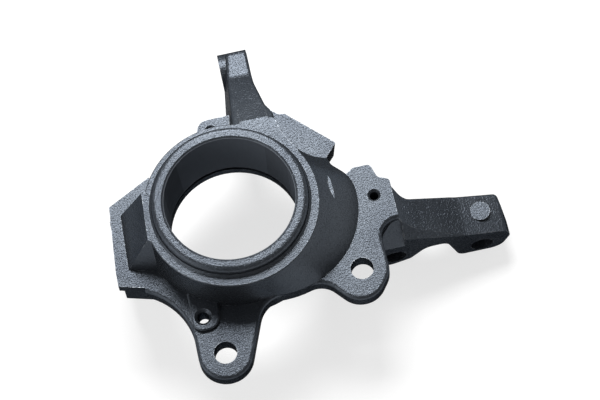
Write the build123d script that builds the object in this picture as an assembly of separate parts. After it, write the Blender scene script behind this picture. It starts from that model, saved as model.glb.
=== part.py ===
from build123d import *
import math
import os

# Steering knuckle, one iron casting.
# Frame: the origin is on the hub axis, in the plane of the caliper ears' outboard face.
# +Z points outboard along the hub axis, +X runs up to the strut and +Y back to the tie rod.
# All sizes are in millimetres.

# Hub bearing housing
bearing_radius = 37.0
seat_length = 38.5
mouth_chamfer_depth = 0.7
mouth_chamfer_width = 1.4
groove_width = 4.0
groove_depth = 2.2
end_lip_step = 0.5
end_chamfer = 1.2
rim_z = 30.0
rim_radius = 44.0
rim_rounding = 3.0
rim_draft = 0.5
collar_z = 24.0
collar_x = 0.4
collar_y = -1.3
collar_radius = 49.6
collar_chamfer = 0.5
collar_land = 2.0
collar_bevel = 1.2
barrel_foot_radius = 52.5
inboard_z = -19.0
inboard_radius = 51.0
inboard_chamfer = 1.5

# Lobe that leans out of the barrel towards the strut
lobe_x = 20.0
lobe_radius = 51.4
lobe_back_angle = 12.5
valley_x = 60.8
valley_y = 21.0
ridge_foot_x = 59.4
ridge_foot_y = 25.4
ridge_bend_x = 49.2
ridge_bend_y = 29.2
ridge_end_x = 41.0
ridge_end_y = 38.0
ridge_start_angle = 60.0
nose_rounding = 20.0
valley_rounding = 8.0
scoop_x = 76.0
scoop_y = 1.5
scoop_radius = 20.0
scoop_floor_z = 14.5

# Ear flange with the two caliper ears
flange_thickness = 9.8
ear_radius = 15.5
ear_hole_radius = 6.5
upper_ear_x = 64.6
upper_ear_y = -46.0
lower_ear_x = -20.0
lower_ear_y = -78.2
ear_top_rounding = 2.0
ear_bottom_chamfer = 1.0
lower_flank_angle = 69.0
flank_blend = 16.0
upper_ear_right = 15.3
upper_ear_bottom = 18.2
upper_ear_rounding = 14.0
upper_cheek_drop = 4.8
upper_foot_right = 5.3
upper_foot_left = 8.5
upper_flank_angle = 49.5
upper_blend = 12.6
web_arc_radius = 39.9
web_arc_y = -67.6

# Strut side of the flange, with its arched cut
strut_flange_x = 91.4
strut_flange_y = -20.1
strut_flange_back_y = 4.4
notch_x = 84.9
notch_y = 7.4
flange_back_x = 82.4
flange_back_y = 16.0
arch_radius = 10.8
arch_x = 79.2
flange_corner = 2.5

# Left plate over the ball joint boss
plate_lip = 6.0
plate_depth = 17.0
plate_inset = 2.7
plate_block_x = -57.0
plate_left_x = -71.5
plate_front_y = -25.6
plate_front_fall = 4.2
plate_inner_x = -46.0
plate_rear_x = -42.8
plate_rear_y = 37.1
plate_heel_x = -38.0
plate_heel_y = 29.0
plate_shoulder_x = -68.3
plate_shoulder_y = 23.7

# Facet buttress between the collar and the left plate
facet_top_x = -49.3
facet_foot_x = -64.0
facet_rear_y = 17.0
facet_front_top_y = -12.0
facet_front_foot_y = -17.1
facet_heel_x = -47.9
facet_heel_y = -21.3

# Tab with the threaded hole for the splash shield
tab_hole_x = -2.3
tab_hole_y = 57.7
tab_thickness = 12.0
tab_radius = 7.6
tab_neck_x = -11.3
tab_neck_y = 56.8

# Plate between the steering arm and the lobe
rear_plate_depth = 17.0
rear_plate_tip_x = 66.4
rear_plate_tip_y = 33.8
rear_plate_top_x = 41.3
rear_plate_top_y = 59.0
rear_plate_end_x = 60.0
rear_plate_end_y = 26.8
rear_plate_draft = 5.0

# Threaded holes with their countersinks
shield_core_radius = 2.5
shield_countersink_radius = 3.85
shield_hole_depth = 14.0
shield_hole_x = 80.7
shield_hole_y = -3.5
sensor_core_radius = 3.4
sensor_countersink_radius = 5.0
sensor_hole_x = -28.2
sensor_hole_y = -55.4
sensor_boss_height = 2.5
sensor_boss_radius = 8.0
sensor_boss_left_x = -34.6
sensor_boss_right_x = -18.0
sensor_boss_rear_y = -41.0
sensor_boss_chamfer = 0.8

# Strut arm: clamp lugs on a plane that faces -Y
clamp_y = -29.0
strut_far_y = -4.3
strut_hole_radius = 6.5
strut_outer_x = 137.8
strut_outer_z = -43.3
strut_inner_x = 86.5
strut_inner_z = -34.9
strut_tip_x = 154.2
strut_tip_z = -31.2
strut_bend_x = 100.5
strut_bend_z = -11.0
strut_knee_x = 127.0
strut_knee_z = -25.2
strut_root_z = -3.0
outer_lug_bottom_z = -51.6
inner_lug_bottom_z = -46.5
arch_crown_z = -30.5
strut_flare_y = 5.0
strut_waist_y = -5.0
strut_hidden_x = 56.0
strut_rounding = 2.5
shoulder_y = -20.5
shoulder_drop = 9.6
shoulder_end_x = 128.0
panel_top_inset = 1.0
panel_foot_z = -22.0
datum_pad_radius = 5.75
datum_pad_height = 1.3
datum_pad_x = 139.8
datum_pad_y = -15.2

# Steering arm and the tie rod eye at its end
steer_start_y = 15.0
steer_root_y = 46.5
steer_knee_y = 89.0
steer_tip_y = 105.7
steer_root_left_x = 10.5
steer_tip_left_x = 17.0
steer_right_x = 27.8
steer_waist_y = 81.0
steer_flare_x = 31.7
steer_flare_y = 59.3
steer_shoulder_x = 34.6
steer_shoulder_y = 51.2
steer_throat_x = 36.3
steer_throat_y = 37.0
steer_root_right_x = 43.4
steer_root_right_y = 23.0
steer_left_draft = 8.0
steer_right_draft = 3.0
steer_bottom_z = -22.0
steer_rounding = 2.0
eye_y = 101.2
eye_z = -16.0
eye_radius = 11.0
eye_left_x = 10.5
eye_right_x = 27.6
eye_large_radius = 7.0
eye_small_radius = 5.8
pad_left_x = 14.8
pad_right_x = 31.0
pad_end_y = 61.8
pad_height = 0.7

# Ball joint boss below the left plate, split and clamped by a pinch bolt
stud_radius = 8.5
stud_z = -16.5
stud_length = 26.0
stud_boss_radius = 15.5
stud_boss_left_x = -69.5
clamp_rounding = 4.0
clamp_bottom_z = -36.0
clamp_bolt_radius = 5.25
clamp_bolt_x = -57.5
clamp_bolt_z = -27.5
clamp_slit = 3.0

plate_z = 0.0

# The arc between the left plate and the lower ear runs tangent into the ear
web_arc_x = lower_ear_x - ear_radius - web_arc_radius


def rounded_face(corners):
    """Closed outline through (x, y, corner radius) triples."""
    points = [(x, y) for x, y, radius in corners]
    radii = [radius for x, y, radius in corners]
    return make_face(FilletPolyline(*points, radius=radii, close=True))


def plan_plate(face, top_z, bottom_z, taper=0.0):
    """Plate standing on an XY outline that holds at its top face."""
    return extrude(Pos(0, 0, top_z) * face, amount=bottom_z - top_z, taper=taper)


def side_plate(face, near_y, far_y):
    """Plate made from an XZ outline, between two Y planes."""
    plane = Plane((0, far_y, 0), x_dir=(1, 0, 0), z_dir=(0, -1, 0))
    return extrude(plane * face, amount=far_y - near_y)


def drilled(x, y, top_z, radius, depth):
    """Cutter along Z that starts at the given level and goes inboard."""
    return Pos(x, y, top_z - depth / 2) * Cylinder(radius, depth)


def countersunk(x, y, top_z, core_radius, mouth_radius, depth):
    """Cutter for a core hole with a 90 degree countersink."""
    sink_depth = mouth_radius - core_radius
    sink = Pos(x, y, top_z - sink_depth / 2) * Cone(core_radius, mouth_radius, sink_depth)
    return drilled(x, y, top_z, core_radius, depth) + sink


def housing():
    """Turned form of the bearing housing, still without its bore."""
    core_radius = bearing_radius / 2
    inner_radius = rim_radius + rim_draft + collar_land
    profile = rounded_face([
        (core_radius, rim_z, 0),
        (rim_radius, rim_z, rim_rounding),
        (rim_radius + rim_draft, collar_z + collar_bevel, 0),
        (rim_radius + rim_draft + collar_bevel, collar_z, 0),
        (inner_radius, collar_z, 0),
        (inner_radius, plate_z - 1, 0),
        (inboard_radius, plate_z - 1, 0),
        (inboard_radius, inboard_z + inboard_chamfer, 0),
        (inboard_radius - inboard_chamfer, inboard_z, 0),
        (core_radius, inboard_z, 0),
    ])
    return revolve(Plane.XZ * profile, axis=Axis.Z)


def bore():
    """Cutter for the mouth chamfer, seat, snap ring groove and end lip."""
    seat_top = rim_z - mouth_chamfer_depth
    seat_end = seat_top - seat_length
    groove_end = seat_end - groove_width
    lip_radius = bearing_radius + end_lip_step
    groove_radius = bearing_radius + groove_depth
    points = [
        (0, rim_z),
        (bearing_radius + mouth_chamfer_width, rim_z),
        (bearing_radius, seat_top),
        (bearing_radius, seat_end),
        (groove_radius, seat_end),
        (groove_radius, groove_end),
        (lip_radius, groove_end),
        (lip_radius, inboard_z + end_chamfer),
        (lip_radius + end_chamfer, inboard_z),
        (0, inboard_z),
    ]
    return revolve(Plane.XZ * make_face(Polyline(*points, close=True)), axis=Axis.Z)


def polar(x, y, radius, angle):
    """Point at a radius and an angle in degrees from a centre."""
    turn = math.radians(angle)
    return (x + radius * math.cos(turn), y + radius * math.sin(turn))


def barrel_foot():
    """Foot of the barrel and its lobe, with the hollow beside the rear plate."""
    meet_x = (lobe_x ** 2 + barrel_foot_radius ** 2 - lobe_radius ** 2) / (2 * lobe_x)
    meet_y = -math.sqrt(barrel_foot_radius ** 2 - meet_x ** 2)
    meet_angle = math.degrees(math.atan2(meet_y, meet_x - lobe_x))
    start = polar(0, 0, barrel_foot_radius, ridge_start_angle)
    back = polar(lobe_x, 0, lobe_radius, lobe_back_angle)
    front = polar(lobe_x, 0, lobe_radius, (meet_angle + lobe_back_angle) / 2)
    valley = (valley_x, valley_y)
    ridge_foot = (ridge_foot_x, ridge_foot_y)
    ridge_end = (ridge_end_x, ridge_end_y)
    face = make_face([
        ThreePointArc(start, (-barrel_foot_radius, 0), (meet_x, meet_y)),
        ThreePointArc((meet_x, meet_y), front, back),
        Line(back, valley),
        Line(valley, ridge_foot),
        ThreePointArc(ridge_foot, (ridge_bend_x, ridge_bend_y), ridge_end),
        Line(ridge_end, start),
    ])
    face = fillet(face.vertices().sort_by_distance(back)[0], nose_rounding)
    return fillet(face.vertices().sort_by_distance(valley)[0], valley_rounding)


def collar_outline(foot, inset):
    """Collar circle, with a stretch straight above each edge of the foot."""
    arcs = []
    for edge in foot.edges():
        points = [collar_point(edge @ share, inset) for share in (0, 0.5, 1)]
        arcs.append(ThreePointArc(*points))
    return make_face(arcs)


def collar_point(below, inset):
    """Point of the collar circle on the same heading as a point of the foot."""
    heading = math.degrees(math.atan2(below.Y - collar_y, below.X - collar_x))
    return polar(collar_x, collar_y, collar_radius - inset, heading)


def barrel():
    """Barrel from the chamfered collar down to the flange, with the leaning lobe."""
    outline = barrel_foot()
    top = Pos(0, 0, collar_z) * collar_outline(outline, collar_chamfer)
    shoulder = Pos(0, 0, collar_z - collar_chamfer) * collar_outline(outline, 0)
    foot = Pos(0, 0, plate_z) * outline
    skirt = plan_plate(outline, plate_z, -flange_thickness / 2)
    scoop = Pos(scoop_x, scoop_y, (scoop_floor_z + rim_z) / 2)
    scoop *= Cylinder(scoop_radius, rim_z - scoop_floor_z)
    return loft([top, shoulder, foot], ruled=True) - scoop + skirt


def ear_flange():
    """Flange with the caliper ears and the thinner lip of the left plate."""
    outline = lower_ear_outline() + upper_ear_outline() + barrel_foot()
    outline = fillet(outline.vertices().filter_by(is_lobe_valley), upper_blend)
    lip = plan_plate(left_plate_outline(0), plate_z, -plate_lip)
    plate = plan_plate(outline, plate_z, -flange_thickness) + lip
    rim = plate.faces().sort_by(Axis.Z)[-1].outer_wire().edges()
    plate = fillet(rim.filter_by(is_ear_edge), ear_top_rounding)
    rim = plate.faces().sort_by(Axis.Z)[0].outer_wire().edges()
    return chamfer(rim.filter_by(is_ear_edge), ear_bottom_chamfer)


def web_circle():
    """Circle that the arc between the left plate and the lower ear lies on."""
    return Pos(web_arc_x, web_arc_y) * Circle(web_arc_radius)


def lower_ear_outline():
    """Plan of the web and the lower ear."""
    ear_bottom_y = lower_ear_y - ear_radius
    ear_left_x = lower_ear_x - ear_radius
    rise = math.radians(lower_flank_angle)
    flank_x = lower_ear_x + ear_radius * math.tan(rise / 2)
    foot_x = flank_x + (-lobe_radius - ear_bottom_y) / math.tan(rise)
    face = rounded_face([
        (plate_block_x, facet_front_foot_y, 0),
        (plate_block_x, web_arc_y + web_arc_radius / 2, 0),
        (ear_left_x, web_arc_y, 0),
        (ear_left_x, ear_bottom_y, ear_radius),
        (flank_x, ear_bottom_y, ear_radius),
        (foot_x, -lobe_radius, flank_blend),
        (lobe_x, -lobe_radius, 0),
        (lobe_x, facet_front_foot_y, 0),
    ])
    return face - web_circle()


def upper_ear_outline():
    """Plan of the strut side of the flange, the arched cut and the upper ear."""
    right_x = upper_ear_x + upper_ear_right
    bottom_y = upper_ear_y - upper_ear_bottom
    foot_x = upper_ear_x - upper_foot_left
    rise = math.radians(upper_flank_angle)
    reach = lobe_radius / 2
    return rounded_face([
        (lobe_x, flange_back_y - 4, 0),
        (flange_back_x - 16, flange_back_y - 4, 1),
        (flange_back_x - 10, flange_back_y, 2),
        (flange_back_x, flange_back_y, flange_corner),
        (notch_x, notch_y, flange_corner),
        (strut_flange_x, strut_flange_back_y, flange_corner),
        (strut_flange_x, strut_flange_y, 0),
        (arch_x, strut_flange_y, arch_radius),
        (right_x, upper_ear_y - upper_cheek_drop, upper_ear_rounding),
        (upper_ear_x + upper_foot_right, bottom_y, upper_ear_rounding),
        (foot_x, bottom_y, upper_ear_rounding),
        (foot_x - reach * math.cos(rise), bottom_y + reach * math.sin(rise), 0),
        (lobe_x, facet_front_foot_y, 0),
    ])


def is_lobe_valley(vertex):
    """True for the corner where the upper ear's flank meets the lobe."""
    on_lobe = abs(math.hypot(vertex.X - lobe_x, vertex.Y) - lobe_radius) < 0.01
    return on_lobe and vertex.Y < upper_ear_y / 2 and vertex.X > lobe_x + lobe_radius / 8


def is_ear_edge(edge):
    """True for the outer edges from the left plate round both ears to the arched cut."""
    middle = edge @ 0.5
    outside = middle.Y < strut_flange_y - 0.5
    return outside and middle.X > plate_block_x + 0.1


def left_plate_outline(inset):
    """Plan of the left plate, with its left edge moved in."""
    front_slope = plate_front_fall / (plate_block_x - plate_left_x)
    end_y = plate_front_y - front_slope * (plate_inner_x - plate_left_x)
    face = rounded_face([
        (plate_inner_x, facet_rear_y, 0),
        (plate_heel_x, plate_heel_y, 0),
        (plate_rear_x, plate_rear_y, 0),
        (plate_shoulder_x + inset, plate_shoulder_y, 0),
        (plate_left_x + inset, facet_front_foot_y, 0),
        (plate_left_x + inset, plate_front_y - front_slope * inset, 0),
        (plate_inner_x, end_y, 0),
    ])
    return face - web_circle()


def left_plate():
    """Block below the lip of the left plate."""
    return plan_plate(left_plate_outline(plate_inset), -plate_lip / 2, -plate_depth)


def facet_buttress():
    """Flat-faced corner between the collar and the left plate."""
    inner_x = facet_top_x + 12
    top = Pos(0, 0, collar_z) * rounded_face([
        (facet_top_x + 1.5, facet_rear_y, 0),
        (facet_top_x, facet_front_top_y, 0),
        (inner_x, facet_front_top_y - 8, 0),
        (inner_x, facet_rear_y, 0),
    ])
    foot = Pos(0, 0, plate_z) * rounded_face([
        (facet_foot_x + 1.2, facet_rear_y, 0),
        (facet_foot_x, facet_front_foot_y, 0),
        (facet_heel_x, facet_heel_y, 0),
        (inner_x, facet_rear_y, 0),
    ])
    return loft([top, foot], ruled=True)


def shield_tab():
    """Round-cornered tab behind the barrel, with a threaded hole through it."""
    face = rounded_face([
        (tab_neck_x - 7, tab_neck_y, 0),
        (tab_neck_x, tab_neck_y, 3),
        (tab_hole_x - tab_radius + 2, tab_hole_y + tab_radius, tab_radius - 1),
        (steer_root_left_x + 4, tab_hole_y + tab_radius, 0),
        (steer_root_left_x + 4, 30, 0),
        (tab_neck_x - 7, 30, 0),
    ])
    return plan_plate(face, plate_z, -tab_thickness)


def rear_plate():
    """Plate between the steering arm and the lobe."""
    face = rounded_face([
        (steer_root_left_x, 30, 0),
        (steer_root_left_x, rear_plate_top_y + 10, 0),
        (rear_plate_top_x - 11, rear_plate_top_y + 10, 0),
        (rear_plate_top_x - 6.5, rear_plate_top_y + 3, 3),
        (rear_plate_top_x - 3.3, rear_plate_top_y + 0.3, 2),
        (rear_plate_top_x, rear_plate_top_y, 1),
        (rear_plate_tip_x, rear_plate_tip_y, 0.6),
        (rear_plate_end_x, rear_plate_end_y, 0),
        (rear_plate_end_x - 12, 10, 0),
    ])
    return plan_plate(face, plate_z, -rear_plate_depth, rear_plate_draft)


def sensor_boss():
    """Raised pad round the countersunk hole at the foot of the barrel."""
    face = rounded_face([
        (sensor_boss_left_x, sensor_boss_rear_y, 0),
        (sensor_boss_left_x, sensor_hole_y - sensor_boss_radius, sensor_boss_radius - 2),
        (sensor_hole_x + sensor_boss_radius, sensor_hole_y - sensor_boss_radius, sensor_boss_radius - 1),
        (sensor_boss_right_x, sensor_boss_rear_y - 6, 3),
        (sensor_boss_right_x, sensor_boss_rear_y + 6, 0),
        (sensor_boss_left_x, sensor_boss_rear_y + 6, 0),
    ])
    boss = plan_plate(face, sensor_boss_height, -flange_thickness / 2)
    rim = boss.faces().sort_by(Axis.Z)[-1].outer_wire().edges()
    return chamfer(rim.filter_by(is_sensor_boss_edge), sensor_boss_chamfer)


def is_sensor_boss_edge(edge):
    """True for the edges that stand clear of the barrel."""
    return (edge @ 0.5).Y < sensor_boss_rear_y


def strut_arm():
    """Arm with two clamp lugs, from its side profile and its plan outline."""
    lug = strut_hole_radius + 6
    profile = rounded_face([
        (strut_hidden_x, plate_z - 0.5, 0),
        (strut_flange_x - 0.5, plate_z - 0.5, 0),
        (strut_flange_x, strut_root_z, 0),
        (strut_bend_x, strut_bend_z, 20),
        (strut_knee_x, strut_knee_z, 20),
        (strut_tip_x - 2, strut_tip_z, 2.5),
        (strut_tip_x + 0.6, strut_outer_z + 6, 7),
        (strut_outer_x + 11, outer_lug_bottom_z, 9),
        (strut_outer_x - 13.5, outer_lug_bottom_z, 5),
        (strut_outer_x - 20.5, arch_crown_z, 5),
        (strut_inner_x + 18.5, arch_crown_z, 9),
        (strut_inner_x + 9, inner_lug_bottom_z + 5.2, 5),
        (strut_inner_x - 7, inner_lug_bottom_z, 9),
        (strut_inner_x - lug - 6, inboard_z - 8, 9),
        (strut_hidden_x, inboard_z, 0),
    ])
    plan = rounded_face([
        (strut_hidden_x, clamp_y, 0),
        (strut_tip_x + 1, clamp_y, 0),
        (strut_tip_x - 2.4, strut_far_y, 3),
        (strut_knee_x - 3, strut_far_y + 1, 10),
        (strut_flange_x + 4.6, strut_waist_y, 6),
        (strut_flange_x - 2, strut_flare_y, 0),
        (strut_hidden_x, strut_flare_y, 0),
    ])
    body = side_plate(profile, clamp_y, strut_flare_y + 5)
    body &= plan_plate(plan, rim_z, outer_lug_bottom_z - 5)
    body = fillet(body.edges().filter_by(is_strut_crest), strut_rounding)
    slope = (strut_knee_z - strut_tip_z) / (strut_tip_x - 2 - strut_knee_x)
    pad_z = strut_knee_z - slope * (datum_pad_x - strut_knee_x) + datum_pad_height
    body += Pos(datum_pad_x, datum_pad_y, pad_z - 5) * Cylinder(datum_pad_radius, 10)
    return body - shoulder_cut() - panel_cut()


def is_strut_crest(edge):
    """True for the long top edges on the side away from the clamp face."""
    start = edge @ 0
    end = edge @ 1
    middle = edge @ 0.5
    lengthwise = abs(start.X - end.X) > 0.2
    slope = (strut_root_z - strut_knee_z) / (strut_knee_x - strut_flange_x)
    low_z = strut_root_z - slope * (middle.X - strut_flange_x) - strut_rounding * 2
    outside = middle.X > strut_flange_x + 2 and middle.Y > strut_waist_y - 1
    return outside and lengthwise and middle.Z > low_z


def shoulder_cut():
    """Cutter for the sloped band between the arm's top and its clamp face."""
    top_z = strut_root_z + 10
    start = Plane((strut_flange_x + 1, 0, 0), x_dir=(0, 1, 0), z_dir=(1, 0, 0))
    end = Plane((shoulder_end_x, 0, 0), x_dir=(0, 1, 0), z_dir=(1, 0, 0))
    reach = shoulder_y - clamp_y
    slope = (strut_knee_z - strut_tip_z) / (strut_tip_x - 2 - strut_knee_x)
    end_z = strut_knee_z - slope * (shoulder_end_x - strut_knee_x)
    first = start * make_face(Polyline(
        (shoulder_y, strut_root_z), (clamp_y, strut_root_z - shoulder_drop),
        (clamp_y - 2, strut_root_z - shoulder_drop), (clamp_y - 2, strut_root_z + 1),
        (shoulder_y, strut_root_z + 1), close=True))
    last = end * make_face(Polyline(
        (clamp_y + 0.3, end_z), (clamp_y, end_z - 0.3),
        (clamp_y - 2, end_z - 0.3), (clamp_y - 2, end_z + 2),
        (clamp_y + 0.3, end_z + 2), close=True))
    return loft([first, last], ruled=True)


def panel_cut():
    """Cutter for the drafted panel below the arched cut of the flange."""
    plane = Plane((strut_hidden_x, 0, 0), x_dir=(0, 1, 0), z_dir=(1, 0, 0))
    top_y = strut_flange_y + panel_top_inset
    face = make_face(Polyline(
        (clamp_y, panel_foot_z), (top_y, plate_z - ear_top_rounding), (top_y, rim_z),
        (clamp_y - 5, rim_z), (clamp_y - 5, panel_foot_z), close=True))
    return extrude(plane * face, amount=strut_flange_x + 1 - strut_hidden_x)


def steering_arm():
    """Arm that slopes down from the collar to the tie rod eye."""
    profile = rounded_face([
        (steer_start_y, collar_z, 0),
        (steer_root_y, collar_z, 0),
        (steer_knee_y, plate_z, 8),
        (steer_tip_y, plate_z, 5),
        (eye_y + eye_radius - 1, eye_z, 4),
        (eye_y, eye_z - eye_radius + 1, 5),
        (barrel_foot_radius + 8, steer_bottom_z, 10),
        (barrel_foot_radius - 6, inboard_z, 0),
        (steer_start_y, inboard_z, 0),
    ])
    plane = Plane((0, 0, 0), x_dir=(0, 1, 0), z_dir=(1, 0, 0))
    body = extrude(plane * profile, amount=barrel_foot_radius + 10)
    top = Pos(0, 0, collar_z) * steering_plan(0, 0)
    drop = collar_z - steer_bottom_z + 10
    left_shift = drop * math.tan(math.radians(steer_left_draft))
    right_shift = drop * math.tan(math.radians(steer_right_draft))
    bottom = Pos(0, 0, collar_z - drop) * steering_plan(left_shift, right_shift)
    body &= loft([top, bottom], ruled=True)
    body += eye_boss()
    body = fillet(body.edges().filter_by(is_steering_crest), steer_rounding)
    return body + (Pos(0, 0, pad_height) * body & root_pad_area())


def is_steering_crest(edge):
    """True for the long top edges of the steering arm's two flanks."""
    start = edge @ 0
    end = edge @ 1
    middle = edge @ 0.5
    lengthwise = abs(start.Y - end.Y) > 0.3 and abs(start.X - end.X) < eye_radius / 2
    outside = middle.Y > steer_root_y and middle.Z > -eye_radius / 2
    return outside and lengthwise


def root_pad_area():
    """Space of the low pad on the arm's slope beside the collar."""
    face = rounded_face([
        (pad_left_x, steer_root_y - 1, 0),
        (pad_left_x, pad_end_y - 2.4, 3),
        (pad_left_x + 5.7, pad_end_y, 6),
        (pad_right_x - 2.2, pad_end_y - 1.6, 2),
        (pad_right_x - 0.6, pad_end_y - 4.8, 1),
        (pad_right_x, steer_root_y - 1, 0),
    ])
    return plan_plate(face, collar_z, plate_z)


def steering_plan(left_shift, right_shift):
    """Plan outline of the steering arm, with each flank moved towards -X."""
    tip_y = eye_y + eye_radius + 2
    tip_drop = collar_z - plate_z
    left_x = steer_tip_left_x + tip_drop * math.tan(math.radians(steer_left_draft))
    right_x = steer_right_x + tip_drop * math.tan(math.radians(steer_right_draft))
    return rounded_face([
        (steer_root_left_x - left_shift, 25, 0),
        (steer_root_left_x - left_shift, steer_root_y, 0),
        (left_x - left_shift, tip_y, 0),
        (right_x - right_shift, tip_y, 0),
        (right_x - right_shift, steer_waist_y, 40),
        (steer_flare_x - right_shift, steer_flare_y, 12),
        (steer_shoulder_x - right_shift, steer_shoulder_y, 5),
        (steer_shoulder_x - right_shift, steer_root_y, 6),
        (steer_throat_x - right_shift, steer_throat_y, 8),
        (steer_root_right_x - right_shift, steer_root_right_y, 0),
        (steer_root_right_x - 10 - right_shift, 15, 0),
    ])


def eye_boss():
    """Round boss of the tie rod eye, with its axis along X."""
    length = eye_right_x - eye_left_x
    middle_x = (eye_right_x + eye_left_x) / 2
    return Pos(middle_x, eye_y, eye_z) * Rot(0, 90, 0) * Cylinder(eye_radius, length)


def ball_joint_boss():
    """Clamp boss for the ball stud, on the inboard side of the left plate."""
    plane = Plane((stud_boss_left_x, 0, 0), x_dir=(0, 1, 0), z_dir=(1, 0, 0))
    length = -bearing_radius - 6 - stud_boss_left_x
    barrel = Pos(0, stud_z) * Circle(stud_boss_radius)
    ears = rounded_face([
        (-stud_boss_radius, stud_z, 0),
        (-stud_boss_radius, clamp_bottom_z, clamp_rounding),
        (stud_boss_radius, clamp_bottom_z, clamp_rounding),
        (stud_boss_radius, stud_z, 0),
    ])
    web = rounded_face([
        (-stud_boss_radius, plate_z - 1, 0),
        (-stud_boss_radius, stud_z, 0),
        (stud_boss_radius, stud_z, 0),
        (stud_boss_radius, plate_z - 1, 0),
    ])
    return extrude(plane * (barrel + ears + web), amount=length)


def ball_joint_cuts():
    """Stud bore, clamp slit and pinch bolt hole."""
    start_x = stud_boss_left_x - plate_inset
    middle_x = start_x + (stud_length + plate_inset) / 2
    stud = Pos(middle_x, 0, stud_z) * Rot(0, 90, 0) * Cylinder(stud_radius, stud_length + plate_inset)
    slit_height = stud_z - clamp_bottom_z + 5
    slit = Pos(middle_x, 0, stud_z - slit_height / 2)
    slit *= Box(stud_length + plate_inset, clamp_slit, slit_height)
    bolt = Pos(clamp_bolt_x, 0, clamp_bolt_z) * Rot(90, 0, 0)
    bolt *= Cylinder(clamp_bolt_radius, stud_boss_radius * 3)
    return stud + slit + bolt


def holes():
    """Every drilled and reamed hole outside the hub and the ball joint boss."""
    deep = flange_thickness + 2
    ears = drilled(upper_ear_x, upper_ear_y, 1, ear_hole_radius, deep)
    ears += drilled(lower_ear_x, lower_ear_y, 1, ear_hole_radius, deep)
    shield = countersunk(shield_hole_x, shield_hole_y, plate_z, shield_core_radius,
                         shield_countersink_radius, shield_hole_depth)
    tab = countersunk(tab_hole_x, tab_hole_y, plate_z, shield_core_radius,
                      shield_countersink_radius, tab_thickness + 1)
    sensor = countersunk(sensor_hole_x, sensor_hole_y, sensor_boss_height, sensor_core_radius,
                         sensor_countersink_radius, sensor_boss_height + flange_thickness + 1)
    clamp_depth = strut_far_y - clamp_y + 12
    bolts = Pos(strut_outer_x, clamp_y + clamp_depth / 2 - 1, strut_outer_z) * Rot(90, 0, 0)
    bolts *= Cylinder(strut_hole_radius, clamp_depth)
    inner = Pos(strut_inner_x, clamp_y + clamp_depth - 1, strut_inner_z) * Rot(90, 0, 0)
    inner *= Cylinder(strut_hole_radius, 2 * clamp_depth)
    length = eye_right_x - eye_left_x
    middle_x = (eye_right_x + eye_left_x) / 2
    eye = Pos(middle_x, eye_y, eye_z) * Rot(0, 90, 0)
    eye *= Cone(eye_large_radius, eye_small_radius, length + 0.02)
    return [ears, shield, tab, sensor, bolts, inner, eye]


def knuckle():
    """The finished casting."""
    body = housing() + barrel() + left_plate() + facet_buttress()
    body += ear_flange()
    body += shield_tab() + rear_plate() + sensor_boss()
    body += strut_arm() + steering_arm() + ball_joint_boss()
    body -= bore()
    body -= ball_joint_cuts()
    for cutter in holes():
        body -= cutter
    return body


if __name__ == "__main__":
    os.makedirs("parts", exist_ok=True)
    part = knuckle()
    part.label = "steering_knuckle"
    export_step(part, "parts/steering_knuckle.step")
    box = part.bounding_box()
    print("solids", len(part.solids()), "volume", part.volume, "box", box.min, box.max)
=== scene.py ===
import math

import bmesh
import bpy
from mathutils import Matrix, Vector


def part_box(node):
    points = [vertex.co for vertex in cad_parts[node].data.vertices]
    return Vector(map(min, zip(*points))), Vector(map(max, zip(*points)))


bl_info = {
    "name": "Steering knuckle look",
    "version": (1, 0, 0),
    "blender": (4, 5, 0),
    "location": "View3D > Sidebar > Knuckle",
    "description": "Shot-blasted iron, studio floor, lamps and camera for a steering knuckle",
    "category": "Object",
}

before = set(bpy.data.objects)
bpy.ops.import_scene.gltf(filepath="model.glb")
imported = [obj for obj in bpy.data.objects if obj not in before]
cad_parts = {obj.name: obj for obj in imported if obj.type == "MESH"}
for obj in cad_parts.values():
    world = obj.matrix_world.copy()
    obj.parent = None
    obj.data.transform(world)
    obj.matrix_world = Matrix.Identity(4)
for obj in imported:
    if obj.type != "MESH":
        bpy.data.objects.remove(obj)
NODE = "steering_knuckle"

# Places on the casting, in metres: the seat's edge from the hub axis, the rough arm along X
SEAT_EDGE = (0.0372, 0.0376)
ROUGH_ARM_START = (0.090, 0.104)
ROUGH_ARM_END = (0.122, 0.130)

# Sizes of the patterns: clouds in metres, pits and bumps as multiples of the grain
CLOUD_SIZE = 0.045
PIT_RATIO = 3.4
BUMP_RATIO = 1.3

# Octaves of the grain and how rough they are
GRAIN_DETAIL = 2.5
GRAIN_ROUGHNESS = 0.6

# Mean of a pattern, and its values between which each mask goes from 0 to 1
NOISE_MEAN = 0.5
TONE_BAND = (0.2, 0.8)
WORN_BAND = (0.40, 0.62)
BUMP_BAND = (0.50, 0.68)

# Cosines of the turn between the true and the rounded normal, from rubbed to untouched, and
# the number of rays that round it
EDGE_BAND = (0.80, 0.985)
EDGE_SAMPLES = 6

# Shares of the grain, pits and clouds in the tone, the roughness and the relief
TONE_OF_GRAIN = 0.5
TONE_OF_CLOUDS = 0.7
TONE_SHIFT = 0.1
ROUGHNESS_OF_GRAIN = 0.18
ROUGHNESS_OF_CLOUDS = 0.10
RELIEF_OF_GRAIN = 0.7
RELIEF_OF_PITS = 0.3

# The stage, in metres: the floor's half side, then each lamp's place, width and depth
FLOOR_HALF = 3.0
KEY_LAMP = ((0.04, 0.94, 1.18), 0.85, 0.6)
FILL_LAMP = ((-1.05, -0.35, 0.55), 0.9, 0.9)

# Sines of the height above the horizon over which the backdrop's white fades out
HORIZON_BAND = (0.08, 0.16)

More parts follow.
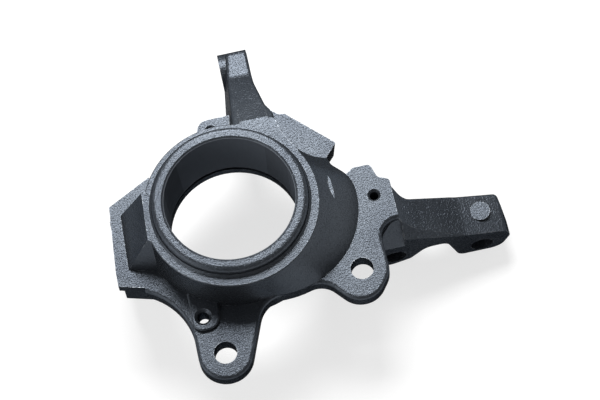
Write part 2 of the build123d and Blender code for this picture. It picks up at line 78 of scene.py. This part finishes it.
# The camera: its place, its right, up and back directions, and the nearest that it sees, in
# metres, then its sensor's width and its lens in millimetres
CAMERA_PLACE = (0.0, -0.584143, 1.294581)
CAMERA_AXES = ((0.97729067, -0.20251767, -0.06236613),
               (0.21011281, 0.88793661, 0.40917134),
               (-0.02748725, -0.41298326, 0.91032372))
CAMERA_NEAREST = 0.01
CAMERA_SENSOR = 36.0
CAMERA_LENS = 150.0


class Socket:
    """An output socket of a shader node, with arithmetic that adds math nodes."""

    def __init__(self, tree, out):
        self.tree = tree
        self.out = out

    def node(self, kind, values=(), pick=0, **settings):
        """Add a node to this socket's tree and return one of its outputs."""
        return add_node(self.tree, kind, values, pick, **settings)

    def math(self, operation, *others):
        """Math node of this socket and the others."""
        return self.node("ShaderNodeMath", (self, *others), operation=operation)

    def __add__(self, other):
        return self.math("ADD", other)

    def __sub__(self, other):
        return self.math("SUBTRACT", other)

    def __rsub__(self, other):
        return (self * -1.0) + other

    def __mul__(self, other):
        return self.math("MULTIPLY", other)

    def __pow__(self, other):
        return self.math("POWER", other)

    __radd__ = __add__
    __rmul__ = __mul__

    def axis(self, letter):
        """One component of a vector socket."""
        return self.node("ShaderNodeSeparateXYZ", (self,), pick="XYZ".index(letter))

    def ramp(self, low, high):
        """0 below low, 1 above high, smooth between them."""
        return self.node("ShaderNodeMapRange", (self, low, high, 0.0, 1.0),
                         interpolation_type="SMOOTHSTEP")

    def mix(self, first, second):
        """Colour that goes from first to second as this factor goes from 0 to 1."""
        return self.node("ShaderNodeMix", {0: self, 6: first, 7: second}, pick=2,
                         data_type="RGBA")


def add_node(tree, kind, values=(), pick=0, **settings):
    """Add a node, set its properties, then its inputs, and return one output if it has any."""
    made = tree.nodes.new(kind)
    for name, value in settings.items():
        setattr(made, name, value)
    pairs = values.items() if isinstance(values, dict) else enumerate(values)
    for key, value in pairs:
        if isinstance(value, Socket):
            tree.links.new(value.out, made.inputs[key])
        else:
            made.inputs[key].default_value = value
    return Socket(tree, made.outputs[pick]) if made.outputs else None


def make_material(name, make_surface, values):
    """Material whose surface is the shader that make_surface builds from the values."""
    material = bpy.data.materials.new(name)
    material.use_nodes = True
    tree = material.node_tree
    tree.nodes.clear()
    add_node(tree, "ShaderNodeOutputMaterial", {"Surface": make_surface(tree, values)})
    return material


def noise(point, size, detail=2.0, roughness=0.5):
    """Noise between 0 and 1 whose blobs are about one size across, in metres."""
    values = {"Vector": point, "Scale": 1.0 / size, "Detail": detail, "Roughness": roughness}
    return point.node("ShaderNodeTexNoise", values)


def hub_distance(point):
    """Distance of the point from the hub axis, which is the frame's Z axis."""
    return (point.axis("X") ** 2.0 + point.axis("Y") ** 2.0) ** 0.5


def edge_wear(point, width):
    """1 on sharp edges, 0 on flat faces, from a rounded normal beside the true one."""
    true_normal = point.node("ShaderNodeNewGeometry", pick="Normal")
    soft_normal = point.node("ShaderNodeBevel", {"Radius": width}, samples=EDGE_SAMPLES)
    turn = point.node("ShaderNodeVectorMath", (true_normal, soft_normal), pick="Value",
                      operation="DOT_PRODUCT")
    return 1.0 - turn.ramp(*EDGE_BAND)


def seen_rays(tree):
    """1 for rays that show a thing directly, mirrored or through glass, 0 for lighting rays."""
    camera_ray, glossy_ray, clear_ray = (
        add_node(tree, "ShaderNodeLightPath", pick=f"Is {kind} Ray")
        for kind in ("Camera", "Glossy", "Transmission"))
    return camera_ray.math("MAXIMUM", glossy_ray).math("MAXIMUM", clear_ray)


def iron_surface(tree, finish):
    """Dark grainy iron with rubbed edges, a smoother bored seat and a rougher arm."""
    point = add_node(tree, "ShaderNodeTexCoord", pick="Object")
    grains = noise(point, finish.grain, GRAIN_DETAIL, GRAIN_ROUGHNESS)
    pits = noise(point, finish.grain * PIT_RATIO)
    clouds = noise(point, CLOUD_SIZE)
    bore = 1.0 - hub_distance(point).ramp(*SEAT_EDGE)
    cast = 1.0 - bore
    wear = edge_wear(point, finish.wear_width) * pits.ramp(*WORN_BAND)

    tone = (grains * TONE_OF_GRAIN + clouds * TONE_OF_CLOUDS - TONE_SHIFT).ramp(*TONE_BAND)
    iron = tone.mix((*finish.dark, 1.0), (*finish.light, 1.0))
    seat = bore.mix(iron, (*finish.bored, 1.0))
    colour = wear.mix(seat, (*finish.worn, 1.0))

    uneven = (grains - NOISE_MEAN) * ROUGHNESS_OF_GRAIN
    uneven = uneven + (clouds - NOISE_MEAN) * ROUGHNESS_OF_CLOUDS
    roughness = uneven * cast + bore * (finish.bore_roughness - finish.roughness)
    roughness = roughness + finish.roughness

    metal = bore * (finish.bore_metal - finish.metal) + wear * (1.0 - finish.metal)
    metal = metal + finish.metal

    along = point.axis("X")
    arm = along.ramp(*ROUGH_ARM_START) * (1.0 - along.ramp(*ROUGH_ARM_END))
    bumps = noise(point, finish.grain * BUMP_RATIO, 0.0).ramp(*BUMP_BAND)
    bumps = bumps * (arm * finish.arm_sparkle + finish.sparkle)
    height = (grains * RELIEF_OF_GRAIN + pits * RELIEF_OF_PITS + bumps) * cast
    bump = point.node("ShaderNodeBump", {"Strength": 1.0, "Distance": finish.relief,
                                         "Height": height})

    tint = (finish.edge_tint, finish.edge_tint, finish.edge_tint, 1.0)
    return point.node("ShaderNodeBsdfPrincipled", {
        "Base Color": colour, "Roughness": roughness, "Metallic": metal, "Normal": bump,
        "Specular IOR Level": 0.0, "Specular Tint": tint})


def floor_surface(tree, studio):
    """Matt grey that takes the shadow, with a white glow only where the floor is seen."""
    seen = seen_rays(tree)
    grey = (studio.floor_colour, studio.floor_colour, studio.floor_colour, 1.0)
    glow = seen.node("ShaderNodeEmission", {"Color": (1.0, 1.0, 1.0, 1.0),
                                            "Strength": seen * studio.floor_glow})
    matt = seen.node("ShaderNodeBsdfDiffuse", {"Color": grey})
    return seen.node("ShaderNodeAddShader", (glow, matt))


class KNUCKLE_PG_casting(bpy.types.PropertyGroup):
    """Look of the shot-blasted casting."""

    dark: bpy.props.FloatVectorProperty(
        name="Iron", description="Colour of the iron in its deeper spots",
        subtype="COLOR", size=3, min=0.0, max=1.0, default=(0.053, 0.061, 0.074))
    light: bpy.props.FloatVectorProperty(
        name="Iron highlights", description="Colour of the iron on its higher spots",
        subtype="COLOR", size=3, min=0.0, max=1.0, default=(0.099, 0.112, 0.129))
    worn: bpy.props.FloatVectorProperty(
        name="Worn edge", description="Colour of the iron where its edges are rubbed",
        subtype="COLOR", size=3, min=0.0, max=1.0, default=(0.200, 0.214, 0.232))
    bored: bpy.props.FloatVectorProperty(
        name="Bored seat", description="Colour of the bored bearing seat",
        subtype="COLOR", size=3, min=0.0, max=1.0, default=(0.130, 0.146, 0.170))
    metal: bpy.props.FloatProperty(
        name="Metal", description="Share of bare metal, the rest being matt oxide",
        subtype="FACTOR", min=0.0, max=1.0, default=0.70)
    bore_metal: bpy.props.FloatProperty(
        name="Bore metal", description="Share of bare metal in the bored seat",
        subtype="FACTOR", min=0.0, max=1.0, default=0.15)
    edge_tint: bpy.props.FloatProperty(
        name="Edge tint", description="Strength of the metal's shine at a flat angle",
        subtype="FACTOR", min=0.0, max=1.0, default=0.04)
    roughness: bpy.props.FloatProperty(
        name="Roughness", description="Mean roughness of the cast faces",
        subtype="FACTOR", min=0.0, max=1.0, default=0.34)
    bore_roughness: bpy.props.FloatProperty(
        name="Bore roughness", description="Roughness of the bored seat",
        subtype="FACTOR", min=0.0, max=1.0, default=0.38)
    grain: bpy.props.FloatProperty(
        name="Grain", description="Size of the sand-cast grain",
        subtype="DISTANCE", unit="LENGTH", min=0.0002, max=0.01, default=0.00072)
    relief: bpy.props.FloatProperty(
        name="Relief", description="Height of the sand-cast grain",
        subtype="DISTANCE", unit="LENGTH", min=0.0, max=0.001, default=0.00018)
    sparkle: bpy.props.FloatProperty(
        name="Sparkle", description="Share of steep small bumps in the relief",
        subtype="FACTOR", min=0.0, max=2.0, default=0.4)
    arm_sparkle: bpy.props.FloatProperty(
        name="Arm sparkle", description="Steep small bumps added on the middle of the strut arm",
        subtype="FACTOR", min=0.0, max=4.0, default=1.3)
    wear_width: bpy.props.FloatProperty(
        name="Wear width", description="Width of the rubbed band along an edge",
        subtype="DISTANCE", unit="LENGTH", min=0.0, max=0.01, default=0.0012)


class KNUCKLE_PG_studio(bpy.types.PropertyGroup):
    """Levels of the lamps, the world and the floor."""

    key_power: bpy.props.FloatProperty(
        name="Key", description="Radiance of the broad lamp above and behind the part",
        min=0.0, max=100.0, default=17.5)
    fill_power: bpy.props.FloatProperty(
        name="Fill", description="Radiance of the soft lamp on the left",
        min=0.0, max=100.0, default=1.8)
    world_level: bpy.props.FloatProperty(
        name="World", description="Level of the grey world light",
        min=0.0, max=2.0, default=0.15)
    floor_colour: bpy.props.FloatProperty(
        name="Floor", description="Grey level of the floor's own colour",
        subtype="FACTOR", min=0.0, max=1.0, default=0.40)
    floor_glow: bpy.props.FloatProperty(
        name="Floor white", description="White that the floor adds where it is seen",
        subtype="FACTOR", min=0.0, max=1.0, default=0.70)


class KNUCKLE_OT_casting(bpy.types.Operator):
    """Give the casting its dark shot-blasted surface"""

    bl_idname = "knuckle.casting"
    bl_label = "Finish the casting"

    def execute(self, context):
        iron = make_material("shot_blasted_iron", iron_surface, context.scene.knuckle_casting)
        slots = bpy.data.objects[NODE].data.materials
        slots.clear()
        slots.append(iron)
        return {"FINISHED"}


class KNUCKLE_OT_studio(bpy.types.Operator):
    """Build the floor, the lamps, the world and the camera"""

    bl_idname = "knuckle.studio"
    bl_label = "Build the studio"

    def execute(self, context):
        studio = context.scene.knuckle_studio
        self.floor(context, studio)
        self.lamp(context, "key", KEY_LAMP, studio.key_power)
        self.lamp(context, "fill", FILL_LAMP, studio.fill_power)
        self.world(context, studio)
        self.camera(context)
        context.scene.view_settings.view_transform = "Standard"
        return {"FINISHED"}

    def floor(self, context, studio):
        """Square floor at the height of the part's lowest point."""
        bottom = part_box(NODE)[0].z
        shape = bmesh.new()
        bmesh.ops.create_grid(shape, x_segments=1, y_segments=1, size=FLOOR_HALF,
                              matrix=Matrix.Translation((0.0, 0.0, bottom)))
        mesh = bpy.data.meshes.new("floor")
        shape.to_mesh(mesh)
        shape.free()
        mesh.materials.append(make_material("studio_floor", floor_surface, studio))
        plane = bpy.data.objects.new("floor", mesh)
        context.scene.collection.objects.link(plane)

    def lamp(self, context, name, shape, radiance):
        """Rectangular lamp that faces the part, with its power set from its radiance."""
        place, width, depth = shape
        data = bpy.data.lights.new(name, "AREA")
        data.shape = "RECTANGLE"
        data.size = width
        data.size_y = depth
        data.energy = radiance * math.pi * width * depth
        lamp = bpy.data.objects.new(name, data)
        lamp.location = place
        lamp.rotation_euler = (-Vector(place)).to_track_quat("-Z", "Y").to_euler()
        context.scene.collection.objects.link(lamp)

    def world(self, context, studio):
        """Grey light from all round, with a white band at the horizon where it is seen."""
        world = bpy.data.worlds.new("studio")
        world.use_nodes = True
        tree = world.node_tree
        direction = add_node(tree, "ShaderNodeTexCoord", pick="Generated")
        height = direction.axis("Z").math("ABSOLUTE")
        white = (1.0 - height.ramp(*HORIZON_BAND)) * seen_rays(tree)
        level = white * (1.0 - studio.world_level) + studio.world_level
        background = tree.nodes["Background"]
        background.inputs["Color"].default_value = (1.0, 1.0, 1.0, 1.0)
        tree.links.new(level.out, background.inputs["Strength"])
        context.scene.world = world

    def camera(self, context):
        """Camera at the photo's viewing angle."""
        data = bpy.data.cameras.new("camera")
        data.sensor_width = CAMERA_SENSOR
        data.lens = CAMERA_LENS
        data.clip_start = CAMERA_NEAREST
        camera = bpy.data.objects.new("camera", data)
        turn = Matrix(CAMERA_AXES).transposed().to_4x4()
        camera.matrix_world = Matrix.Translation(CAMERA_PLACE) @ turn
        context.scene.collection.objects.link(camera)
        context.scene.camera = camera


class KNUCKLE_PT_panel(bpy.types.Panel):
    """Buttons and values of the steering knuckle's look"""

    bl_idname = "KNUCKLE_PT_panel"
    bl_label = "Steering knuckle"
    bl_space_type = "VIEW_3D"
    bl_region_type = "UI"
    bl_category = "Knuckle"

    def draw(self, context):
        layout = self.layout
        finish = context.scene.knuckle_casting
        studio = context.scene.knuckle_studio
        for name in ("dark", "light", "worn", "bored", "metal", "bore_metal", "edge_tint",
                     "roughness", "bore_roughness", "grain", "relief", "sparkle",
                     "arm_sparkle", "wear_width"):
            layout.prop(finish, name)
        layout.operator(KNUCKLE_OT_casting.bl_idname)
        for name in ("key_power", "fill_power", "world_level", "floor_colour", "floor_glow"):
            layout.prop(studio, name)
        layout.operator(KNUCKLE_OT_studio.bl_idname)


CLASSES = (KNUCKLE_PG_casting, KNUCKLE_PG_studio, KNUCKLE_OT_casting, KNUCKLE_OT_studio,
           KNUCKLE_PT_panel)


def register():
    for made in CLASSES:
        bpy.utils.register_class(made)
    bpy.types.Scene.knuckle_casting = bpy.props.PointerProperty(type=KNUCKLE_PG_casting)
    bpy.types.Scene.knuckle_studio = bpy.props.PointerProperty(type=KNUCKLE_PG_studio)


def unregister():
    del bpy.types.Scene.knuckle_studio
    del bpy.types.Scene.knuckle_casting
    for made in reversed(CLASSES):
        bpy.utils.unregister_class(made)


def main():
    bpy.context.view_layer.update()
    register()
    bpy.ops.knuckle.casting()
    bpy.ops.knuckle.studio()


if __name__ == "__main__":
    main()
